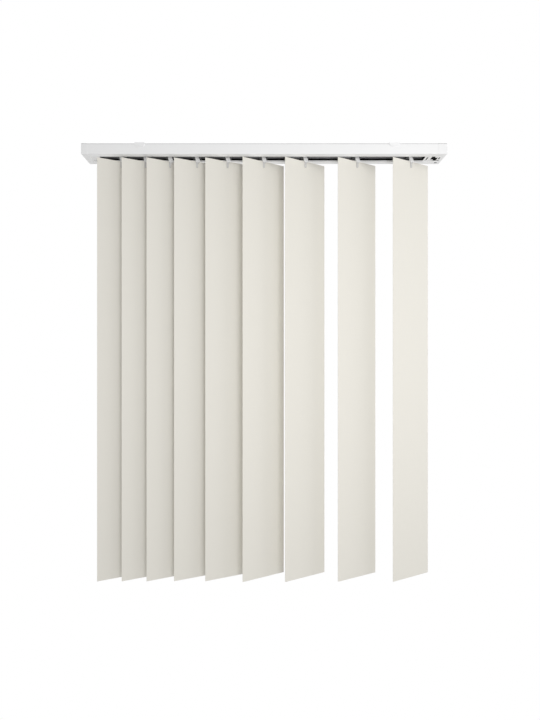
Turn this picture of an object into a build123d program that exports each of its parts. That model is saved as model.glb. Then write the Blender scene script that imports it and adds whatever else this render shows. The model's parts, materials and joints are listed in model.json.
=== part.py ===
from build123d import *

import os
from math import cos, radians, sin

# Vertical blind: nine stiff slats hung from carriers that run in a ceiling-fixed head rail.
# X runs along the rail, Y away from the viewer and Z up. The origin lies on the ceiling, midway
# between the screw holes of the two brackets. Lengths are in millimetres, angles in degrees.

# Head rail, a C-shaped extrusion with a slot below and a recess for the brackets on top
rail_length = 1024  # over both end caps
rail_depth = 50
rail_height = 30
rail_wall = 1.5
rail_corner = 1.8
slot_width = 24.5
rib_height = 3
rib_wall = 1.5
recess_mouth = 20
recess_width = 24
recess_depth = 4
recess_lip = 1.2

# End caps, a little proud of the rail, each with a plug that goes into it
cap_left_length = 17
cap_right_length = 25.5
cap_edge = 1.2
cap_lap = 0.4  # how far they stand proud of the rail
plug_left_length = 26
plug_right_length = 27
key_gap = 1  # beside the key in the rail's slot
key_recess = 3  # rail's underside to the key's

# Control end: cord window in the right plug and cap, chain slots, and a catch slot in each
plug_key_length = 19  # of the right plug, before the window
window_length = 15.5
window_width = 15
window_offset = -0.5  # this and the next offsets are from the rail's middle plane
chain_slot = 3.4
catch_width = 3.5
catch_depth = 3
cap_catch_length = 8.6
cap_catch_offset = -4.7
plug_catch_length = 12
plug_catch_offset = 3
plug_catch_inset = 8  # plug's end to the middle of its slot

# Ceiling brackets, bent from spring steel
bracket_left_inset = 164  # rail's left end to the left screw
bracket_right_inset = 148
bracket_width = 28
bracket_gauge = 1.6
bracket_lip = 9  # how far the lips hang over the rail
bracket_lip_corner = 8
screw_radius = 2.4
leg_width = 12
leg_gauge = 1.2

# Slats, hung at these shares of the rail's length from its left end
slat_count = 9
slat_width = 127
slat_length = 1190
slat_gauge = 0.9
slat_drop = 7  # rail to slat
stem_shares = (0.1008, 0.1680, 0.2362, 0.3117, 0.3973, 0.4985, 0.6148, 0.7598, 0.9102)
slat_turns = (19.2, 18.8, 18.8, 18.2, 18.4, 22.0, 21.8, 20.6, 20.9)
hole_width = 5.6
hole_height = 4
hole_corner = 1
hole_drop = 6  # slat's top edge to the punched hole

# Stems: a toothed wheel, two snap prongs above it, and a fork that holds the slat below it
wheel_radius = 6.5
wheel_root_radius = 5.2
wheel_gauge = 4
wheel_teeth = 10
tooth_shares = (-0.4, -0.2, 0.2, 0.4)  # corners of a tooth, in tooth pitches
neck_radius = 1.8  # around the corners of both prongs
neck_turn = 30  # of those corners, seen from above
prong_gap = 1
barb_reach = 2.5
barb_tip = 1.2
blade_width = 11
blade_lean = 3  # of its foot, along the slat
blade_flare = 1.5  # how much wider the foot is
funnel_height = 6  # over which a jaw narrows
jaw_width = 6
jaw_length = 18
jaw_gauge = 1.4
jaw_corner = 1.5
tooth_height = 2.8

# Tilt rod and the worms that it turns
rod_flats = 5  # across the flats of the hexagon
worm_radius = 4.5
worm_sides = 12
worm_length = 15

# Carriers
carrier_length = 24
carrier_floor = 1.6
carrier_plate = 2
carrier_head_room = 1.8
skirt_wall = 2
fin_width = 7
channel_width = 12
deck_shift = -2.5  # of the cord ways and the spacers, towards the front
cord_way_width = 3.2
cord_way_depth = 3.3

# Spacer strips, one level for each, that keep the carriers within reach of each other
spacer_reach = 165  # widest pitch of two carriers
spacer_width = 7
spacer_root_length = 6
spacer_tab_length = 2
spacer_tab_width = 1.2
spacer_gauge_share = 0.4  # of a level
spacer_tab_share = 1.2

# Cord pulleys and the chain sprocket
return_pin_radius = 2.5
pulley_gauge = 3.6
cord_pulley_radius = 4.6
axle_radius = 1.2
groove_depth = 1.2
groove_wall = 0.8
ear_wall = 1.8
sprocket_radius = 6.2
sprocket_gauge = 7
sprocket_pockets = 8
pocket_width = 2.2
pocket_depth = 1.3
sprocket_inset = 13  # middle of the sprocket from the blind's right end

# Clearances
run_gap = 0.2  # under what slides
side_gap = 0.3  # beside what slides or turns
shaft_fit = 0.05  # around what turns
slat_play = 0.1  # on each side of a slat in its fork
tooth_play = 0.3  # on each side of a fork's tooth in the slat's hole
spacer_play = 0.8  # on each side of a spacer's head in the carriers
snap_fit = 0.15  # between snapped pieces
room = 0.4  # above or beside a moving piece in its chamber

# Levels
rail_top = -bracket_gauge
rail_bottom = rail_top - rail_height
rail_middle = (rail_top + rail_bottom) / 2
cap_top = rail_top + cap_lap
cap_bottom = rail_bottom - cap_lap
key_bottom = rail_bottom + key_recess
lip_top = rail_bottom + rail_wall
rib_top = lip_top + rib_height
recess_floor = rail_top - recess_depth
roof = recess_floor - rail_wall
carrier_base = rib_top + run_gap
worm_z = carrier_base + carrier_floor + worm_radius + side_gap
wheel_bottom = worm_z - wheel_gauge / 2
wheel_top = worm_z + wheel_gauge / 2
chamber_top = wheel_top + side_gap
plate_top = chamber_top + carrier_plate
block_top = plate_top + carrier_head_room
barb_bottom = plate_top + shaft_fit
barb_top = block_top - side_gap
fin_top = roof - room
axle_z = fin_top - cord_pulley_radius - room
chain_floor = worm_z - sprocket_radius - room
slat_top = rail_bottom - slat_drop
hole_top = slat_top - hole_drop
foot = slat_top + snap_fit
funnel_bottom = slat_top - funnel_height
jaw_bottom = slat_top - jaw_length

# Widths across the rail
rail_half = rail_depth / 2
slot_half = slot_width / 2
recess_half = recess_width / 2
skirt_inner = slot_half + rib_wall + side_gap
skirt_outer = skirt_inner + skirt_wall
channel_half = channel_width / 2
fin_outer = channel_half + fin_width
cord_y = channel_half + fin_width / 2
spacer_head_width = channel_width - 2 * spacer_play
return_pulley_radius = cord_y + groove_depth
well_front = deck_shift - cord_y - pulley_gauge / 2 - room
well_rear = deck_shift + cord_y + pulley_gauge / 2 + room
well_width = well_rear - well_front
well_y = (well_front + well_rear) / 2
worm_y = wheel_radius + side_gap + worm_radius
jaw_gap = slat_gauge + 2 * slat_play
blade_gauge = jaw_gap + 2 * jaw_gauge
foot_left = blade_lean - blade_width / 2
foot_right = blade_lean + blade_width / 2 + blade_flare
jaw_right = foot_left + jaw_width
jaw_middle = foot_left + jaw_width / 2
tooth_width = hole_width - 2 * tooth_play
neck_half = neck_radius * cos(radians(neck_turn))
neck_gauge = 2 * neck_radius * sin(radians(neck_turn))
rod_corner_radius = rod_flats / 2 / cos(radians(30))
bearing_radius = rod_corner_radius + shaft_fit
rod_way = 2 * (rod_corner_radius + side_gap)

# Places along the rail
bracket_spacing = rail_length - bracket_left_inset - bracket_right_inset
rail_left = -bracket_spacing / 2 - bracket_left_inset
rail_right = rail_left + rail_length
rail_start = rail_left + cap_left_length
rail_end = rail_right - cap_right_length
plug_left_end = rail_start + plug_left_length
plug_right_end = rail_end - plug_right_length
window_start = plug_right_end + plug_key_length
window_x = window_start + window_length / 2
stem_x = [rail_left + share * rail_length for share in stem_shares]
return_pulley_x = (rail_start + plug_left_end) / 2
cord_pulley_x = window_start + room + cord_pulley_radius
sprocket_x = rail_right - sprocket_inset
rod_end = sprocket_x + sprocket_gauge
spacer_level = (fin_top - block_top) / slat_count
spacer_gauge = spacer_gauge_share * spacer_level

os.makedirs("parts", exist_ok=True)


def slat_plane(number):
    """The plane of a slat: local X along its width, local Y up, facing the viewer."""
    turn = radians(slat_turns[number])
    along = (cos(turn), sin(turn), 0)
    facing = (sin(turn), -cos(turn), 0)
    return Plane(origin=(stem_x[number], 0, 0), x_dir=along, z_dir=facing)


def wheel_corners():
    """Corners of the toothed wheel, four to a tooth."""
    radii = (wheel_root_radius, wheel_radius, wheel_radius, wheel_root_radius)
    corners = []
    for tooth in range(wheel_teeth):
        for radius, share in zip(radii, tooth_shares):
            angle = radians(360 / wheel_teeth * (tooth + share))
            corners.append((radius * cos(angle), radius * sin(angle)))
    return corners


def level_bottom(number):
    """Underside of a spacer strip: each has a level of its own, one above the other."""
    return block_top + (number + (1 - spacer_gauge_share) / 2) * spacer_level


def plug_section():
    """Section of both plugs: a key in the rail's slot under a block that spans the ribs."""
    key_half = slot_half - key_gap
    with Locations((0, (key_bottom + carrier_base) / 2)):
        Rectangle(2 * key_half, carrier_base - key_bottom)
    with Locations((0, (carrier_base + block_top) / 2)):
        Rectangle(2 * skirt_outer, block_top - carrier_base)


def cap_section():
    """Outer section of both end caps."""
    with Locations((0, rail_middle)):
        RectangleRounded(rail_depth + 2 * cap_lap, rail_height + 2 * cap_lap, rail_corner + cap_lap)


def pulley_section(radius, bore_radius):
    """Half section of a grooved pulley around local Y, its middle at zero."""
    half = pulley_gauge / 2
    Polygon(
        (bore_radius, -half),
        (radius, -half),
        (radius, groove_wall - half),
        (radius - groove_depth, groove_wall - half),
        (radius - groove_depth, half - groove_wall),
        (radius, half - groove_wall),
        (radius, half),
        (bore_radius, half),
        align=None,
    )


# Head rail
with BuildPart() as headrail:
    with BuildSketch(Plane.YZ.offset(rail_start)) as rail_section:
        with BuildLine():
            Polyline(
                (0, recess_floor),
                (recess_half, recess_floor),
                (recess_half, rail_top - recess_lip),
                (recess_mouth / 2, rail_top - recess_lip),
                (recess_mouth / 2, rail_top),
                (rail_half, rail_top),
                (rail_half, rail_bottom),
                (slot_half, rail_bottom),
                (slot_half, rib_top),
                (slot_half + rib_wall, rib_top),
                (slot_half + rib_wall, lip_top),
                (rail_half - rail_wall, lip_top),
                (rail_half - rail_wall, rail_top - rail_wall),
                (recess_half + rail_wall, rail_top - rail_wall),
                (recess_half + rail_wall, roof),
                (0, roof),
                close=True,
            )
        make_face()
        fillet(rail_section.vertices().sort_by(Axis.X)[-2:], rail_corner)
        mirror(about=Plane.YZ)
    extrude(amount=rail_end - rail_start)
headrail.part.label = "headrail"
export_step(headrail.part, "parts/headrail.step")

# Left end cap, with the bearing of the rod and the pin of the return pulley
with BuildPart() as end_cap_left:
    with BuildSketch(Plane.YZ.offset(rail_left)):
        cap_section()
    extrude(amount=cap_left_length)
    chamfer(end_cap_left.faces().sort_by(Axis.X)[0].edges(), cap_edge)
    with BuildSketch(Plane.YZ.offset(rail_start)):
        plug_section()
    extrude(amount=plug_left_length)
    with BuildSketch(Plane.YZ.offset(plug_left_end)):
        with Locations((worm_y, worm_z)):
            Circle(bearing_radius)
    extrude(amount=-plug_left_length, mode=Mode.SUBTRACT)
    with BuildSketch(Plane.XY.offset(block_top)):
        with Locations((return_pulley_x, deck_shift)):
            Circle(return_pin_radius)
    extrude(amount=fin_top - block_top)
end_cap_left.part.label = "end_cap_left"
export_step(end_cap_left.part, "parts/end_cap_left.step")

# Right end cap, the control end: a window for the draw cord and slots for the tilt chain
with BuildPart() as end_cap_right:
    with BuildSketch(Plane.YZ.offset(rail_right)):
        cap_section()
    extrude(amount=-cap_right_length)
    chamfer(end_cap_right.faces().sort_by(Axis.X)[-1].edges(), cap_edge)
    with BuildSketch(Plane.YZ.offset(rail_end)):
        plug_section()
    extrude(amount=-plug_right_length)
    # cord well, with a window in its floor and an ear on each side for the pulley axle
    with BuildSketch(Plane.XY.offset(carrier_base)):
        with Locations((window_x, well_y)):
            Rectangle(window_length, well_width)
    extrude(amount=fin_top - carrier_base, mode=Mode.SUBTRACT)
    with BuildSketch(Plane.XY.offset(cap_bottom)):
        with Locations((window_x, window_offset)):
            Rectangle(window_length, window_width)
    extrude(amount=carrier_base - cap_bottom, mode=Mode.SUBTRACT)
    ear_x = (window_start + rail_end) / 2
    with BuildSketch(Plane.XY.offset(block_top)):
        with Locations((ear_x, well_front - ear_wall / 2), (ear_x, well_rear + ear_wall / 2)):
            Rectangle(rail_end - window_start, ear_wall)
    extrude(amount=fin_top - block_top)
    with BuildSketch(Plane.XZ.offset(-(well_rear + ear_wall))):
        with Locations((cord_pulley_x, axle_z)):
            Circle(axle_radius + shaft_fit)
    extrude(amount=well_width + 2 * ear_wall, mode=Mode.SUBTRACT)
    # chain chamber, open above, with a slot below for each run of the chain
    chain_width = sprocket_gauge + 2 * room
    with BuildSketch(Plane.XY.offset(cap_top)):
        with Locations((sprocket_x, worm_y)):
            Rectangle(chain_width, 2 * (sprocket_radius + room))
    extrude(amount=chain_floor - cap_top, mode=Mode.SUBTRACT)
    with BuildSketch(Plane.XY.offset(cap_bottom)):
        with Locations((sprocket_x, worm_y - sprocket_radius), (sprocket_x, worm_y + sprocket_radius)):
            Rectangle(chain_width, chain_slot)
    extrude(amount=worm_z - cap_bottom, mode=Mode.SUBTRACT)
    # catch slots
    with BuildSketch(Plane.XY.offset(cap_bottom)):
        with Locations((sprocket_x, cap_catch_offset)):
            Rectangle(catch_width, cap_catch_length)
    extrude(amount=catch_depth, mode=Mode.SUBTRACT)
    with BuildSketch(Plane.XY.offset(key_bottom)):
        with Locations((plug_right_end + plug_catch_inset, plug_catch_offset)):
            Rectangle(catch_width, plug_catch_length)
    extrude(amount=catch_depth, mode=Mode.SUBTRACT)
    # bearings of the rod at both ends of a free way
    with BuildSketch(Plane.YZ.offset(window_start)):
        with Locations((worm_y, worm_z)):
            Rectangle(rod_way, rod_way)
    extrude(amount=sprocket_x - window_start, mode=Mode.SUBTRACT)
    with BuildSketch(Plane.YZ.offset(plug_right_end)):
        with Locations((worm_y, worm_z)):
            Circle(bearing_radius)
    extrude(amount=rod_end - plug_right_end, mode=Mode.SUBTRACT)
end_cap_right.part.label = "end_cap_right"
export_step(end_cap_right.part, "parts/end_cap_right.step")

# Ceiling brackets: a plate with a lip over each edge of the rail and two legs in its recess
lip_outer = rail_half + bracket_gauge
for name, side in (("bracket_left", -1), ("bracket_right", 1)):
    bracket_x = side * bracket_spacing / 2
    leg_outer = recess_mouth / 2 - snap_fit
    hook_outer = recess_half - snap_fit
    hook_top = rail_top - recess_lip - snap_fit
    with BuildPart() as bracket:
        with BuildSketch(Plane.YZ.offset(bracket_x)):
            with BuildLine():
                Polyline(
                    (-lip_outer, 0),
                    (lip_outer, 0),
                    (lip_outer, rail_top - bracket_lip),
                    (rail_half, rail_top - bracket_lip),
                    (rail_half, rail_top),
                    (-rail_half, rail_top),
                    (-rail_half, rail_top - bracket_lip),
                    (-lip_outer, rail_top - bracket_lip),
                    close=True,
                )
            make_face()
        extrude(amount=bracket_width / 2, both=True)
        fillet(bracket.edges().filter_by(Axis.Y).group_by(Axis.Z)[0], bracket_lip_corner)
        with BuildSketch(Plane.YZ.offset(bracket_x)):
            with BuildLine():
                Polyline(
                    (leg_outer - leg_gauge, rail_top),
                    (leg_outer, rail_top),
                    (leg_outer, hook_top),
                    (hook_outer, hook_top),
                    (hook_outer, hook_top - leg_gauge),
                    (leg_outer - leg_gauge, hook_top - leg_gauge),
                    close=True,
                )
            make_face()
            mirror(about=Plane.YZ)
        extrude(amount=leg_width / 2, both=True)
        with Locations((bracket_x, 0, 0)):
            Hole(screw_radius, bracket_gauge)
    bracket.part.label = name
    export_step(bracket.part, f"parts/{name}.step")

# Tilt rod and its chain sprocket
with BuildPart() as tilt_rod:
    with BuildSketch(Plane.YZ.offset(rail_start + room)):
        with Locations((worm_y, worm_z)):
            RegularPolygon(rod_flats / 2, 6, major_radius=False)
    extrude(amount=rod_end - rail_start - 2 * room)
tilt_rod.part.label = "tilt_rod"
export_step(tilt_rod.part, "parts/tilt_rod.step")

with BuildPart() as chain_sprocket:
    with BuildSketch(Plane.YZ.offset(sprocket_x)):
        with Locations((worm_y, worm_z)):
            Circle(sprocket_radius)
            RegularPolygon(rod_flats / 2 + shaft_fit, 6, major_radius=False, mode=Mode.SUBTRACT)
            with PolarLocations(sprocket_radius, sprocket_pockets):
                Rectangle(2 * pocket_depth, pocket_width, mode=Mode.SUBTRACT)
    extrude(amount=sprocket_gauge / 2, both=True)
chain_sprocket.part.label = "chain_sprocket"
export_step(chain_sprocket.part, "parts/chain_sprocket.step")

# Cord pulleys: one lies flat at the left end, two stand on one axle at the right end
return_plane = Plane((return_pulley_x, deck_shift, fin_top - pulley_gauge / 2), (1, 0, 0), (0, -1, 0))
with BuildPart() as return_pulley:
    with BuildSketch(return_plane):
        pulley_section(return_pulley_radius, return_pin_radius + shaft_fit)
    revolve(axis=Axis((return_pulley_x, deck_shift, 0), (0, 0, 1)))
return_pulley.part.label = "return_pulley"
export_step(return_pulley.part, "parts/return_pulley.step")

for name, side in (("cord_pulley_front", -1), ("cord_pulley_rear", 1)):
    pulley_y = deck_shift + side * cord_y
    with BuildPart() as cord_pulley:
        with BuildSketch(Plane((cord_pulley_x, pulley_y, axle_z), (1, 0, 0), (0, 0, 1))):
            pulley_section(cord_pulley_radius, axle_radius + shaft_fit)
        revolve(axis=Axis((cord_pulley_x, pulley_y, axle_z), (0, 1, 0)))
    cord_pulley.part.label = name
    export_step(cord_pulley.part, f"parts/{name}.step")

with BuildPart() as pulley_axle:
    with BuildSketch(Plane.XZ.offset(-(well_rear + ear_wall))):
        with Locations((cord_pulley_x, axle_z)):
            Circle(axle_radius)
    extrude(amount=well_width + 2 * ear_wall)
pulley_axle.part.label = "pulley_axle"
export_step(pulley_axle.part, "parts/pulley_axle.step")

# One station for each slat: carrier, worm, stem and slat
for number in range(slat_count):
    station_x = stem_x[number]
    station = number + 1

    with BuildPart() as carrier:
        with BuildSketch(Plane.YZ.offset(station_x)):
            with BuildLine():
                Polyline(
                    (-skirt_outer, lip_top + room),
                    (-skirt_inner, lip_top + room),
                    (-skirt_inner, carrier_base),
                    (skirt_inner, carrier_base),
                    (skirt_inner, lip_top + room),
                    (skirt_outer, lip_top + room),
                    (skirt_outer, block_top),
                    (-skirt_outer, block_top),
                    close=True,
                )
            make_face()
            with Locations((deck_shift, (block_top + fin_top) / 2)):
                Rectangle(2 * fin_outer, fin_top - block_top)
                Rectangle(channel_width, fin_top - block_top, mode=Mode.SUBTRACT)
            with Locations((deck_shift - cord_y, fin_top), (deck_shift + cord_y, fin_top)):
                Rectangle(cord_way_width, 2 * cord_way_depth, mode=Mode.SUBTRACT)
        extrude(amount=carrier_length / 2, both=True)
        # gear chamber, open below, with a hole for the stem's neck in the plate over it
        chamber_half = wheel_radius + side_gap
        with BuildSketch(Plane.XY.offset(carrier_base)):
            with Locations((station_x, 0)):
                Rectangle(2 * chamber_half, 2 * chamber_half)
        extrude(amount=chamber_top - carrier_base, mode=Mode.SUBTRACT)
        with BuildSketch(Plane.XY.offset(chamber_top)):
            with Locations((station_x, 0)):
                Circle(neck_radius + shaft_fit)
        extrude(amount=carrier_plate, mode=Mode.SUBTRACT)
        head_half = barb_reach + room
        with BuildSketch(Plane.XY.offset(plate_top)):
            with Locations((station_x, 0)):
                Rectangle(2 * head_half, 2 * head_half)
        extrude(amount=carrier_head_room, mode=Mode.SUBTRACT)
        # worm pocket and rod way, open to the rear
        pocket_half = worm_radius + side_gap
        with BuildSketch(Plane.XZ.offset(-skirt_outer)):
            with Locations((station_x, worm_z)):
                Rectangle(worm_length + 2 * side_gap, 2 * pocket_half)
        extrude(amount=skirt_outer - worm_y + pocket_half, mode=Mode.SUBTRACT)
        with BuildSketch(Plane.XZ.offset(-skirt_outer)):
            with Locations((station_x, worm_z)):
                Rectangle(carrier_length, rod_way)
        extrude(amount=skirt_outer - worm_y + rod_way / 2, mode=Mode.SUBTRACT)
        # the leading carrier has no strip of its own, so a bar across its channel is the last stop
        if station == slat_count:
            with BuildSketch(Plane.XY.offset(level_bottom(number))):
                with Locations((station_x - (carrier_length - spacer_root_length) / 2, deck_shift)):
                    Rectangle(spacer_root_length, channel_width)
            extrude(amount=spacer_gauge)
    carrier.part.label = f"carrier_{station}"
    export_step(carrier.part, f"parts/carrier_{station}.step")

    with BuildPart() as worm:
        with BuildSketch(Plane.YZ.offset(station_x)):
            with Locations((worm_y, worm_z)):
                RegularPolygon(worm_radius, worm_sides)
                RegularPolygon(rod_flats / 2 + shaft_fit, 6, major_radius=False, mode=Mode.SUBTRACT)
        extrude(amount=worm_length / 2, both=True)
    worm.part.label = f"worm_{station}"
    export_step(worm.part, f"parts/worm_{station}.step")

    face = slat_plane(number)
    with BuildPart() as stem:
        # blade that leans along the slat below its carrier
        with BuildSketch(face):
            with BuildLine():
                Polyline(
                    (-blade_width / 2, wheel_bottom),
                    (blade_width / 2, wheel_bottom),
                    (blade_width / 2, carrier_base),
                    (foot_right, foot),
                    (foot_left, foot),
                    (-blade_width / 2, carrier_base),
                    close=True,
                )
            make_face()
        extrude(amount=blade_gauge / 2, both=True)
        # fork: two jaws that narrow downwards, and a tooth from the rear one through the slat's hole
        for side in (-1, 1):
            with BuildSketch(face.offset(side * jaw_gap / 2)) as jaw:
                with BuildLine():
                    Polyline(
                        (foot_left, foot),
                        (foot_right, foot),
                        (jaw_right, funnel_bottom),
                        (jaw_right, jaw_bottom),
                        (foot_left, jaw_bottom),
                        close=True,
                    )
                make_face()
                chamfer(jaw.vertices().group_by(Axis.Y)[0], jaw_corner)
            extrude(amount=side * jaw_gauge)
        with BuildSketch(face.offset(-jaw_gap / 2)):
            with Locations((jaw_middle, hole_top - tooth_height / 2)):
                Rectangle(tooth_width, tooth_height)
        extrude(amount=jaw_gap - slat_play)
        # toothed wheel, and the two barbed prongs that snap through the carrier's plate
        with BuildSketch(Plane((station_x, 0, wheel_bottom), face.x_dir, (0, 0, 1))):
            Polygon(*wheel_corners(), align=None)
        extrude(amount=wheel_gauge)
        with BuildSketch(face):
            with BuildLine():
                Polyline(
                    (prong_gap / 2, wheel_top),
                    (neck_half, wheel_top),
                    (neck_half, barb_bottom),
                    (barb_reach, barb_bottom),
                    (barb_tip, barb_top),
                    (prong_gap / 2, barb_top),
                    close=True,
                )
            make_face()
            mirror(about=Plane.YZ)
        extrude(amount=neck_gauge / 2, both=True)
    stem.part.label = f"stem_{station}"
    export_step(stem.part, f"parts/stem_{station}.step")

    with BuildPart() as slat:
        with BuildSketch(face):
            with Locations((0, slat_top - slat_length / 2)):
                Rectangle(slat_width, slat_length)
        extrude(amount=slat_gauge / 2, both=True)
        with BuildSketch(face) as punch:
            with Locations((jaw_middle, hole_top - hole_height / 2)):
                Rectangle(hole_width, hole_height)
            chamfer(punch.vertices(), hole_corner)
        extrude(amount=slat_gauge / 2, both=True, mode=Mode.SUBTRACT)
    slat.part.label = f"slat_{station}"
    export_step(slat.part, f"parts/slat_{station}.step")

# Spacer strips: each is held between the fins of its carrier and runs through the next carriers
for number in range(slat_count - 1):
    station = number + 1
    level = level_bottom(number)
    root_start = stem_x[number] - carrier_length / 2
    strip_end = root_start + spacer_root_length + spacer_reach
    with BuildPart() as spacer:
        with BuildSketch(Plane.XY.offset(level)):
            with Locations((root_start + spacer_root_length / 2, deck_shift)):
                Rectangle(spacer_root_length, channel_width)
            with Locations(((root_start + strip_end) / 2, deck_shift)):
                Rectangle(strip_end - root_start, spacer_width)
            with Locations((strip_end + spacer_tab_length / 2, deck_shift)):
                Rectangle(spacer_tab_length, spacer_head_width)
        extrude(amount=spacer_gauge)
        # turned-up corners that stop at the root of the next strip
        tab_y = (spacer_head_width - spacer_tab_width) / 2
        with BuildSketch(Plane.XY.offset(level)):
            tab_x = strip_end + spacer_tab_length / 2
            with Locations((tab_x, deck_shift - tab_y), (tab_x, deck_shift + tab_y)):
                Rectangle(spacer_tab_length, spacer_tab_width)
        extrude(amount=spacer_tab_share * spacer_level)
    spacer.part.label = f"spacer_{station}"
    export_step(spacer.part, f"parts/spacer_{station}.step")
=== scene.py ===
import json
import math

import bpy
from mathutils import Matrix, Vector


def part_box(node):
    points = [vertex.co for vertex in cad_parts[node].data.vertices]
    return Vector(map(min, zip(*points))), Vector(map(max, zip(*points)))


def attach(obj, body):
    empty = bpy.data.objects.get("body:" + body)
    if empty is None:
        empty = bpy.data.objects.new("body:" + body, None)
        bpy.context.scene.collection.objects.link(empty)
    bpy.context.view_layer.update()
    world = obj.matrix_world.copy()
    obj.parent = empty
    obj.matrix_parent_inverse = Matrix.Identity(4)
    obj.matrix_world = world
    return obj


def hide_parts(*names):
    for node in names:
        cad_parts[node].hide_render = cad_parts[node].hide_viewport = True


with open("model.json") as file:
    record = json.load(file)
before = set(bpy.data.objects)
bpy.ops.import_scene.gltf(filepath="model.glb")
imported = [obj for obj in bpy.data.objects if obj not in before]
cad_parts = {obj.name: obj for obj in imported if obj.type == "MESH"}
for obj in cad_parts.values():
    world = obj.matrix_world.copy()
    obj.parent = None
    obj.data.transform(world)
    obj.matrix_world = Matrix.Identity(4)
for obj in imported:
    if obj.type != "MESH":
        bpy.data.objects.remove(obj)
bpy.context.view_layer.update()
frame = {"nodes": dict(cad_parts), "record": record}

# Sizes in metres, read from the frame
RAIL_LOW, RAIL_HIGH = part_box("headrail")
RAIL_HALF_DEPTH = (RAIL_HIGH.y - RAIL_LOW.y) / 2
RAIL_MIDDLE = (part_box("end_cap_left")[0].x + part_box("end_cap_right")[1].x) / 2
SLAT_LOW, SLAT_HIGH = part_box("slat_5")
CAP_LOW, CAP_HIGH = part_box("end_cap_right")

# Photograph's view: a level camera in front of the middle of the rail
FOCAL_PX = 347.7
PHOTO_WIDTH_PX, PHOTO_HEIGHT_PX = 540, 720
VANISHING_PX = (264.15, 364.33)
CAMERA_TO_RAIL = 0.9714
CAMERA_BELOW_RAIL = 0.5879
SENSOR_MM = 36.0

# Colours
PURE_WHITE = (1, 1, 1, 1)
RAIL_WHITE = (0.95, 0.95, 0.95, 1)
# The next colour is painted shade: grey on the top corners of the rail and caps, where less light falls from
# above.
RAIL_TOP_SHADE = (0.6, 0.6, 0.6, 1)
BRACKET_WHITE = (0.95, 0.95, 0.95, 1)
# The next colour is painted shade: near black on the rail's inner faces, in the cap's well and on the plugs'
# keys inside the rail.
INSIDE_PAINTED_SHADE = (0.006, 0.006, 0.007, 1)
CAP_WHITE = (0.95, 0.95, 0.95, 1)
STEM_WHITE = (0.95, 0.95, 0.945, 1)
JAW_GREY = (0.62, 0.615, 0.6, 1)
CARRIER_GREY = (0.05, 0.05, 0.052, 1)
GEAR_GREY = (0.045, 0.045, 0.047, 1)
ROD_GREY = (0.14, 0.14, 0.144, 1)
METAL_GREY = (0.55, 0.56, 0.57, 1)
SLAT_LIGHT = (0.83, 0.806, 0.74, 1)
SLAT_DARK = (0.79, 0.766, 0.7, 1)
FLOOR_PALE = (0.85, 0.85, 0.85, 1)

# Limits in metres of the regions that take painted shade or another colour
INSIDE_WALL = 0.0008  # in from the rail's faces
RIB_RISE = 0.0045  # rail's underside to the top of its ribs
RECESS_DROP = 0.0048  # rail's top to the middle of the recess floor
# Height of the band of painted shade along the top corners
TOP_SHADE_HEIGHT = 0.0024
TOP_FACE = 0.00005
CAP_END_WALL = 0.003
CAP_SIDE_WALL = 0.004
CAP_SKIN = 0.0003
KEY_RECESS = 0.0034
JAW_FADE = 0.004  # below the slat's top edge

# Surface detail: noise scales are per metre, and a bump is a strength and a depth in metres
NOISE_DETAIL = 2.0
MOULD_ROUGHNESS = {"cap": 0.45, "stem": 0.4, "carrier": 0.5, "spacer": 0.4, "gear": 0.4}
MOULD_ROUGHNESS_SPREAD = 0.06
MOULD_DARK_SHARE = 0.95
MOULD_FLOW, MOULD_GRAIN = 60.0, 1500.0
MOULD_BUMP = (0.15, 0.00005)
COAT_ROUGHNESS = 0.42
COAT_ROUGHNESS_RANGE = (0.36, 0.48)
COAT_DARK_SHARE = 0.975
COAT_CLOUD, COAT_PEEL = 9.0, 900.0
COAT_PEEL_DETAIL = 3.0
COAT_BUMP = (0.12, 0.00006)
METAL_ROUGHNESS = 0.35
METAL_ROUGHNESS_RANGE = (0.28, 0.45)
METAL_DARK_SHARE = 0.85
METAL_LINES = (2.0, 900.0, 900.0)
METAL_BUMP = (0.1, 0.00003)
SLAT_ROUGHNESS = 0.78
SLAT_ROUGHNESS_RANGE = (0.7, 0.88)
SLAT_SHEEN, SLAT_SHEEN_ROUGHNESS = 0.12, 0.5
SLAT_TURN = math.radians(19.5)
THREAD_PITCH = 0.0009
THICK_THREADS = ((1100.0, 1.0, 14.0), (14.0, 1.0, 1100.0))
WEAVE_TONE_SHARE, WEAVE_HEIGHT_SHARE = 0.25, 0.5
WEAVE_BUMP = (0.3, 0.0001)
FLOOR_ROUGHNESS = 0.6
FLOOR_ROUGHNESS_RANGE = (0.55, 0.65)
FLOOR_DARK_SHARE = 0.97
FLOOR_CLOUD, FLOOR_GRAIN = 4.0, 40.0
FLOOR_BUMP = (0.1, 0.0002)

# Worm thread in metres: one tooth of the wheel to each turn
WORM_COUNT = 9
WORM_LEAD = 0.0037
WORM_ROOT = 0.0034
WORM_END = 0.0009
BORE_HALF = 0.00255
WORM_STEPS = 75
WORM_SECTORS = 36
THREAD_ROOT_SHARE = 0.35  # of half a turn
THREAD_FLANK_SHARE = 0.3
SHARP_ANGLE = math.radians(35)

# Lamps: place, width in metres and power in watts
LAMPS = {
    "front": ((0.42, -1.4, -0.58), 0.65, 7.0),
    "far_right": ((2.4, -0.6, -0.55), 1.2, 9.0),
    "top_right": ((0.9, -1.2, 0.5), 0.6, 2.6),
    "behind": ((-0.4, 1.5, -0.6), 1.0, 4.5),
}
SURROUND_LEVEL = 0.545
BACKDROP_LEVEL = 1.0

# Floor in metres
FLOOR_HALF_LENGTH, FLOOR_HALF_DEPTH = 1.6, 0.75
FLOOR_PLACE = (0, -0.15, -2.45)
FLOOR_GLOW_SHARE = 0.5  # of white, as the camera sees its middle
FLOOR_FADE_SHARES = (0.1, 0.95)  # of the squared distance to its rim


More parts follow.
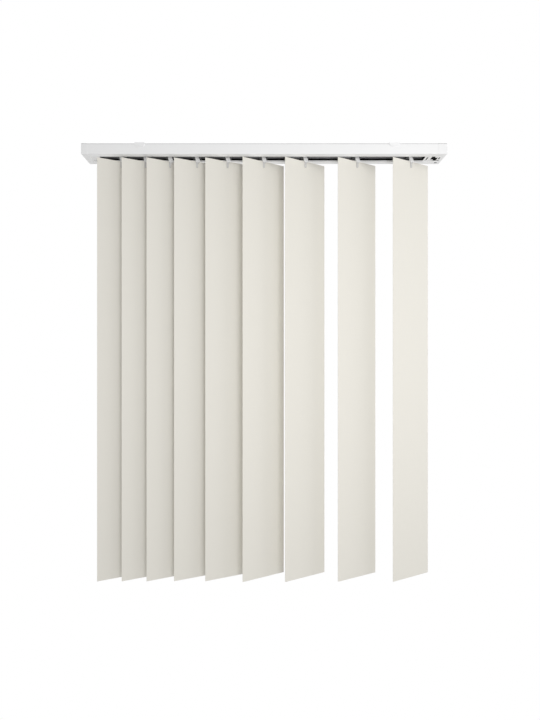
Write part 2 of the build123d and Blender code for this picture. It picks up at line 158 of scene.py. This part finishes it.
def add_node(tree, kind, values=None, **settings):
    """Adds a node: settings are its properties, values its unlinked sockets by name or number."""
    made = tree.nodes.new(kind)
    for name, value in settings.items():
        setattr(made, name, value)
    for socket, value in (values or {}).items():
        made.inputs[socket].default_value = value
    return made


def new_material(name, roughness, **sockets):
    """A principled material with its constant sockets set; returns it with its tree and shader."""
    material = bpy.data.materials.new(name)
    material.use_nodes = True
    tree = material.node_tree
    shader = tree.nodes["Principled BSDF"]
    shader.inputs["Roughness"].default_value = roughness
    for socket, value in sockets.items():
        shader.inputs[socket.replace("_", " ").title()].default_value = value
    return material, tree, shader


def coordinates(tree, turn=0.0):
    """Coordinates of the piece itself, in metres, turned about the vertical."""
    source = add_node(tree, "ShaderNodeTexCoord")
    mapping = add_node(tree, "ShaderNodeMapping", {"Rotation": (0, 0, -turn)})
    tree.links.new(source.outputs["Object"], mapping.inputs["Vector"])
    return mapping.outputs["Vector"]


def axes_of(tree, place):
    """The X, Y and Z sockets of a place."""
    split = add_node(tree, "ShaderNodeSeparateXYZ")
    tree.links.new(place, split.inputs["Vector"])
    return split.outputs


def noise(tree, place, scale, detail=NOISE_DETAIL):
    """A soft noise factor."""
    made = add_node(tree, "ShaderNodeTexNoise", {"Scale": scale, "Detail": detail})
    tree.links.new(place, made.inputs["Vector"])
    return made.outputs["Fac"]


def stretched_noise(tree, place, scales):
    """A noise factor with its own scale along each axis."""
    stretch = add_node(tree, "ShaderNodeMapping", {"Scale": scales})
    tree.links.new(place, stretch.inputs["Vector"])
    return noise(tree, stretch.outputs["Vector"], 1.0)


def math_node(tree, operation, first, second=0.0):
    """One math node; each input is a socket or a number."""
    made = add_node(tree, "ShaderNodeMath", operation=operation)
    for slot, value in enumerate((first, second)):
        if isinstance(value, (int, float)):
            made.inputs[slot].default_value = value
        else:
            tree.links.new(value, made.inputs[slot])
    return made.outputs["Value"]


def all_of(tree, *factors):
    """The product of several factors."""
    product = factors[0]
    for factor in factors[1:]:
        product = math_node(tree, "MULTIPLY", product, factor)
    return product


def blend_colours(tree, factor, first, second):
    """A colour between two; each is a socket or a constant."""
    made = add_node(tree, "ShaderNodeMix", data_type="RGBA")
    tree.links.new(factor, made.inputs["Factor"])
    for socket, value in (("A", first), ("B", second)):
        target = next(s for s in made.inputs if s.name == socket and s.type == "RGBA")
        if isinstance(value, tuple):
            target.default_value = value
        else:
            tree.links.new(value, target)
    return next(s for s in made.outputs if s.type == "RGBA")


def blend_shaders(tree, factor, first, second, output):
    """Leads a mix of two shaders to an output."""
    mix = add_node(tree, "ShaderNodeMixShader")
    tree.links.new(factor, mix.inputs["Fac"])
    tree.links.new(first, mix.inputs[1])
    tree.links.new(second, mix.inputs[2])
    tree.links.new(mix.outputs["Shader"], output.inputs["Surface"])


def spread(tree, factor, low, high):
    """Maps a 0 to 1 factor to a range."""
    made = add_node(tree, "ShaderNodeMapRange", {"To Min": low, "To Max": high})
    tree.links.new(factor, made.inputs["Value"])
    return made.outputs["Result"]


def bump(tree, shader, height, strength, depth):
    """Roughens a shader's surface by a height factor."""
    made = add_node(tree, "ShaderNodeBump", {"Strength": strength, "Distance": depth})
    tree.links.new(height, made.inputs["Height"])
    tree.links.new(made.outputs["Normal"], shader.inputs["Normal"])


def shade(colour, share):
    """A colour made darker by a share."""
    return tuple(channel * share for channel in colour[:3]) + (1,)


def inside_of_rail(tree, place):
    """One on the rail's inner faces above its ribs, where painted shade goes, zero elsewhere."""
    axes = axes_of(tree, place)
    across = math_node(tree, "ABSOLUTE", axes["Y"])
    return all_of(
        tree,
        math_node(tree, "LESS_THAN", across, RAIL_HALF_DEPTH - INSIDE_WALL),
        math_node(tree, "GREATER_THAN", axes["Z"], RAIL_LOW.z + RIB_RISE - INSIDE_WALL),
        math_node(tree, "LESS_THAN", axes["Z"], RAIL_HIGH.z - RECESS_DROP),
    )


def shaded_top_corner(tree, place):
    """One on the rounded corners between the rail's sides and its top, where painted shade goes, zero
    elsewhere.
    """
    height = axes_of(tree, place)["Z"]
    return all_of(
        tree,
        math_node(tree, "GREATER_THAN", height, RAIL_HIGH.z - TOP_SHADE_HEIGHT),
        math_node(tree, "LESS_THAN", height, RAIL_HIGH.z - TOP_FACE),
    )


def inside_of_caps(tree, place):
    """One inside the control cap and on the plugs inside the rail, where painted shade goes, zero elsewhere.
    """
    axes = axes_of(tree, place)
    across = math_node(tree, "ABSOLUTE", axes["Y"])
    in_cap = all_of(
        tree,
        math_node(tree, "GREATER_THAN", axes["X"], RAIL_HIGH.x),
        math_node(tree, "LESS_THAN", axes["X"], CAP_HIGH.x - CAP_END_WALL),
        math_node(tree, "LESS_THAN", across, RAIL_HALF_DEPTH - CAP_SIDE_WALL),
        math_node(tree, "GREATER_THAN", axes["Z"], CAP_LOW.z + CAP_SKIN),
        math_node(tree, "LESS_THAN", axes["Z"], CAP_HIGH.z - CAP_SKIN),
    )
    in_rail = all_of(
        tree,
        math_node(tree, "GREATER_THAN", axes["X"], RAIL_LOW.x),
        math_node(tree, "LESS_THAN", axes["X"], RAIL_HIGH.x),
        math_node(tree, "GREATER_THAN", axes["Z"], RAIL_LOW.z + KEY_RECESS),
    )
    return math_node(tree, "MAXIMUM", in_cap, in_rail)


def jaw_height(tree, place):
    """Rises from zero at the slat's top edge to one a little below it."""
    limits = {"From Min": SLAT_HIGH.z, "From Max": SLAT_HIGH.z - JAW_FADE}
    made = add_node(tree, "ShaderNodeMapRange", limits)
    tree.links.new(axes_of(tree, place)["Z"], made.inputs["Value"])
    return made.outputs["Result"]


def moulded(slot, name, colour, region=None, region_colour=None, painted_top_shade=False):
    """Moulded plastic: fine grain, faint flow marks in tone and gloss, painted shade along the top corners
    when asked, and a region of another colour: painted shade inside the caps, grey on the stems' jaws.
    """
    roughness = MOULD_ROUGHNESS[slot]
    material, tree, shader = new_material(name, roughness)
    place = coordinates(tree)
    flow = noise(tree, place, MOULD_FLOW)
    tone = blend_colours(tree, flow, shade(colour, MOULD_DARK_SHARE), colour)
    # Painted shade: grey along the top corners
    if painted_top_shade:
        tone = blend_colours(tree, shaded_top_corner(tree, place), tone, RAIL_TOP_SHADE)
    # The region's colour: painted shade inside the caps, grey on the stems' jaws
    if region:
        other = blend_colours(tree, flow, shade(region_colour, MOULD_DARK_SHARE), region_colour)
        tone = blend_colours(tree, region(tree, place), tone, other)
    tree.links.new(tone, shader.inputs["Base Color"])
    gloss = spread(tree, flow, roughness - MOULD_ROUGHNESS_SPREAD, roughness + MOULD_ROUGHNESS_SPREAD)
    tree.links.new(gloss, shader.inputs["Roughness"])
    bump(tree, shader, noise(tree, place, MOULD_GRAIN), *MOULD_BUMP)
    return material


def powder_coat(name, colour, hollow_with_painted_shade):
    """White powder coat with fine orange peel; on a hollow rail, painted shade makes its inside near black
    and the rounded corners along its top grey.
    """
    material, tree, shader = new_material(name, COAT_ROUGHNESS)
    place = coordinates(tree)
    cloud = noise(tree, place, COAT_CLOUD)
    tone = blend_colours(tree, cloud, shade(colour, COAT_DARK_SHARE), colour)
    if hollow_with_painted_shade:
        # Painted shade: grey along the top corners and near black on the inner faces
        tone = blend_colours(tree, shaded_top_corner(tree, place), tone, RAIL_TOP_SHADE)
        tone = blend_colours(tree, inside_of_rail(tree, place), tone, INSIDE_PAINTED_SHADE)
    tree.links.new(tone, shader.inputs["Base Color"])
    tree.links.new(spread(tree, cloud, *COAT_ROUGHNESS_RANGE), shader.inputs["Roughness"])
    bump(tree, shader, noise(tree, place, COAT_PEEL, COAT_PEEL_DETAIL), *COAT_BUMP)
    return material


def drawn_metal(name, colour):
    """Drawn metal with fine lines along X."""
    material, tree, shader = new_material(name, METAL_ROUGHNESS, metallic=1.0)
    lines = stretched_noise(tree, coordinates(tree), METAL_LINES)
    tone = blend_colours(tree, lines, shade(colour, METAL_DARK_SHARE), colour)
    tree.links.new(tone, shader.inputs["Base Color"])
    tree.links.new(spread(tree, lines, *METAL_ROUGHNESS_RANGE), shader.inputs["Roughness"])
    bump(tree, shader, lines, *METAL_BUMP)
    return material


def woven_slat(name):
    """Stiffened cloth: a plain weave with thicker threads here and there."""
    material, tree, shader = new_material(
        name, SLAT_ROUGHNESS, sheen_weight=SLAT_SHEEN, sheen_roughness=SLAT_SHEEN_ROUGHNESS
    )
    place = coordinates(tree, SLAT_TURN)
    axes = axes_of(tree, place)
    turns = 2 * math.pi / THREAD_PITCH
    warp = math_node(tree, "SINE", math_node(tree, "MULTIPLY", axes["X"], turns))
    weft = math_node(tree, "SINE", math_node(tree, "MULTIPLY", axes["Z"], turns))
    weave = math_node(tree, "MULTIPLY", warp, weft)
    thick = [stretched_noise(tree, place, scales) for scales in THICK_THREADS]
    threads = math_node(tree, "MULTIPLY", math_node(tree, "ADD", *thick), 1 / len(thick))
    tone = math_node(tree, "ADD", math_node(tree, "MULTIPLY", weave, WEAVE_TONE_SHARE), threads)
    tree.links.new(blend_colours(tree, tone, SLAT_DARK, SLAT_LIGHT), shader.inputs["Base Color"])
    tree.links.new(spread(tree, threads, *SLAT_ROUGHNESS_RANGE), shader.inputs["Roughness"])
    height = math_node(tree, "ADD", math_node(tree, "MULTIPLY", weave, WEAVE_HEIGHT_SHARE), threads)
    bump(tree, shader, height, *WEAVE_BUMP)
    return material


def dress():
    """Gives every node the finish of its material slot."""
    finishes = {
        "rail": powder_coat("rail_coat", RAIL_WHITE, True),
        "bracket": powder_coat("bracket_coat", BRACKET_WHITE, False),
        # The cap takes painted shade inside its well, on the plugs' keys and along its top corners
        "cap": moulded("cap", "cap_plastic", CAP_WHITE, inside_of_caps, INSIDE_PAINTED_SHADE, painted_top_shade=True),
        "stem": moulded("stem", "stem_plastic", STEM_WHITE, jaw_height, JAW_GREY),
        "carrier": moulded("carrier", "carrier_plastic", CARRIER_GREY),
        "spacer": moulded("spacer", "spacer_strip", CARRIER_GREY),
        "gear": moulded("gear", "gear_plastic", GEAR_GREY),
        "rod": drawn_metal("rod_metal", ROD_GREY),
        "axle": drawn_metal("axle_metal", METAL_GREY),
        "slat": woven_slat("slat_weave"),
    }
    for subpart in frame["record"]["subparts"]:
        mesh = frame["nodes"][subpart["node"]].data
        mesh.materials.clear()
        mesh.materials.append(finishes[subpart["material_slot"]])
    return finishes


def thread_radius(along, angle, length, tip):
    """Radius of a worm's surface: a ridge that winds round a core, with plain ends."""
    if not WORM_END < along < length - WORM_END:
        return WORM_ROOT
    phase = (along / WORM_LEAD - angle / (2 * math.pi)) % 1
    ridge = (abs(2 * phase - 1) - THREAD_ROOT_SHARE) / THREAD_FLANK_SHARE
    return WORM_ROOT + (tip - WORM_ROOT) * min(max(ridge, 0), 1)


def threaded_worm(number, finish):
    """A worm with its thread and hexagonal bore, in the place of its plain core."""
    low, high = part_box(f"worm_{number}")
    middle = (low + high) / 2
    tip = (high.z - low.z) / 2
    length = high.x - low.x
    angles = [2 * math.pi * sector / WORM_SECTORS for sector in range(WORM_SECTORS)]
    corner = math.pi / 3
    bore = [BORE_HALF / math.cos(angle % corner - corner / 2) for angle in angles]
    rows = [(0, bore)]
    for step in range(WORM_STEPS + 1):
        along = length * step / WORM_STEPS
        rows.append((along, [thread_radius(along, angle, length, tip) for angle in angles]))
    rows.append((length, bore))
    corners = [
        (low.x + along, middle.y + radius * math.cos(angle), middle.z + radius * math.sin(angle))
        for along, radii in rows for radius, angle in zip(radii, angles)
    ]
    faces = []
    for row in range(len(rows)):
        this, following = row * WORM_SECTORS, (row + 1) % len(rows) * WORM_SECTORS
        for sector in range(WORM_SECTORS):
            beside = (sector + 1) % WORM_SECTORS
            faces.append((this + sector, this + beside, following + beside, following + sector))
    mesh = bpy.data.meshes.new(f"worm_thread_{number}")
    mesh.from_pydata(corners, [], faces)
    mesh.shade_smooth()
    mesh.set_sharp_from_angle(angle=SHARP_ANGLE)
    mesh.materials.append(finish)
    worm = bpy.data.objects.new(f"worm_thread_{number}", mesh)
    bpy.context.scene.collection.objects.link(worm)
    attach(worm, f"worm_gear_{number}")
    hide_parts(f"worm_{number}")


def area_light(name, place, aim, width, power):
    """A square lamp that the camera doesn't see."""
    light = bpy.data.lights.new(name, "AREA")
    light.size = width
    light.energy = power
    lamp = bpy.data.objects.new(name, light)
    lamp.visible_camera = False
    lamp.location = place
    lamp.rotation_euler = (Vector(aim) - Vector(place)).to_track_quat("-Z", "Y").to_euler()
    bpy.context.scene.collection.objects.link(lamp)


def light_scene():
    """Soft light from the front, the right and behind, in an even surround that is seen as white."""
    aim = (RAIL_MIDDLE, 0, (RAIL_LOW.z + SLAT_LOW.z) / 2)
    for name, (place, width, power) in LAMPS.items():
        area_light(name, place, aim, width, power)
    world = bpy.data.worlds.new("surround")
    world.use_nodes = True
    bpy.context.scene.world = world
    tree = world.node_tree
    tree.nodes.clear()
    path = add_node(tree, "ShaderNodeLightPath")
    seen = math_node(tree, "MAXIMUM", path.outputs["Is Camera Ray"], path.outputs["Is Glossy Ray"])
    seen = math_node(tree, "MAXIMUM", seen, path.outputs["Is Transmission Ray"])
    soft = add_node(tree, "ShaderNodeBackground", {"Color": PURE_WHITE, "Strength": SURROUND_LEVEL})
    white = add_node(tree, "ShaderNodeBackground", {"Color": PURE_WHITE, "Strength": BACKDROP_LEVEL})
    output = add_node(tree, "ShaderNodeOutputWorld")
    blend_shaders(tree, seen, soft.outputs["Background"], white.outputs["Background"], output)


def floor_paint(name):
    """Pale paint with faint clouds; the camera sees it fade into the white background at the rim."""
    material, tree, shader = new_material(name, FLOOR_ROUGHNESS)
    place = coordinates(tree)
    cloud = noise(tree, place, FLOOR_CLOUD)
    tone = blend_colours(tree, cloud, shade(FLOOR_PALE, FLOOR_DARK_SHARE), FLOOR_PALE)
    tree.links.new(tone, shader.inputs["Base Color"])
    tree.links.new(spread(tree, cloud, *FLOOR_ROUGHNESS_RANGE), shader.inputs["Roughness"])
    bump(tree, shader, noise(tree, place, FLOOR_GRAIN), *FLOOR_BUMP)
    axes = axes_of(tree, place)
    along = math_node(tree, "DIVIDE", axes["X"], FLOOR_HALF_LENGTH)
    across = math_node(tree, "DIVIDE", axes["Y"], FLOOR_HALF_DEPTH)
    squares = [math_node(tree, "POWER", share, 2.0) for share in (along, across)]
    fade_start, fade_end = FLOOR_FADE_SHARES
    limits = {"From Min": fade_start, "From Max": fade_end, "To Min": FLOOR_GLOW_SHARE}
    rim = add_node(tree, "ShaderNodeMapRange", limits)
    tree.links.new(math_node(tree, "ADD", *squares), rim.inputs["Value"])
    path = add_node(tree, "ShaderNodeLightPath")
    seen = math_node(tree, "MULTIPLY", rim.outputs["Result"], path.outputs["Is Camera Ray"])
    white = add_node(tree, "ShaderNodeEmission", {"Color": PURE_WHITE, "Strength": BACKDROP_LEVEL})
    output = tree.nodes["Material Output"]
    blend_shaders(tree, seen, shader.outputs["BSDF"], white.outputs["Emission"], output)
    return material


def pale_floor():
    """A plain floor well below the blind, out of the photograph's view."""
    corners = [
        (-FLOOR_HALF_LENGTH, -FLOOR_HALF_DEPTH, 0),
        (FLOOR_HALF_LENGTH, -FLOOR_HALF_DEPTH, 0),
        (FLOOR_HALF_LENGTH, FLOOR_HALF_DEPTH, 0),
        (-FLOOR_HALF_LENGTH, FLOOR_HALF_DEPTH, 0),
    ]
    mesh = bpy.data.meshes.new("floor")
    mesh.from_pydata(corners, [], [(0, 1, 2, 3)])
    mesh.materials.append(floor_paint("floor_paint"))
    floor = bpy.data.objects.new("floor", mesh)
    floor.location = FLOOR_PLACE
    bpy.context.scene.collection.objects.link(floor)


def photo_camera():
    """A level camera whose shift puts the vanishing point where the photograph has it."""
    data = bpy.data.cameras.new("photo_camera")
    data.sensor_width = SENSOR_MM
    data.lens = FOCAL_PX * SENSOR_MM / PHOTO_HEIGHT_PX
    data.shift_x = (PHOTO_WIDTH_PX / 2 - VANISHING_PX[0]) / PHOTO_HEIGHT_PX
    data.shift_y = (VANISHING_PX[1] - PHOTO_HEIGHT_PX / 2) / PHOTO_HEIGHT_PX
    camera = bpy.data.objects.new("photo_camera", data)
    camera.location = (RAIL_MIDDLE, RAIL_LOW.y - CAMERA_TO_RAIL, RAIL_LOW.z - CAMERA_BELOW_RAIL)
    camera.rotation_euler = (math.pi / 2, 0, 0)
    bpy.context.scene.collection.objects.link(camera)
    bpy.context.scene.camera = camera


finishes = dress()
for worm_number in range(1, WORM_COUNT + 1):
    threaded_worm(worm_number, finishes["gear"])
light_scene()
pale_floor()
photo_camera()
bpy.context.scene.view_settings.view_transform = "Standard"
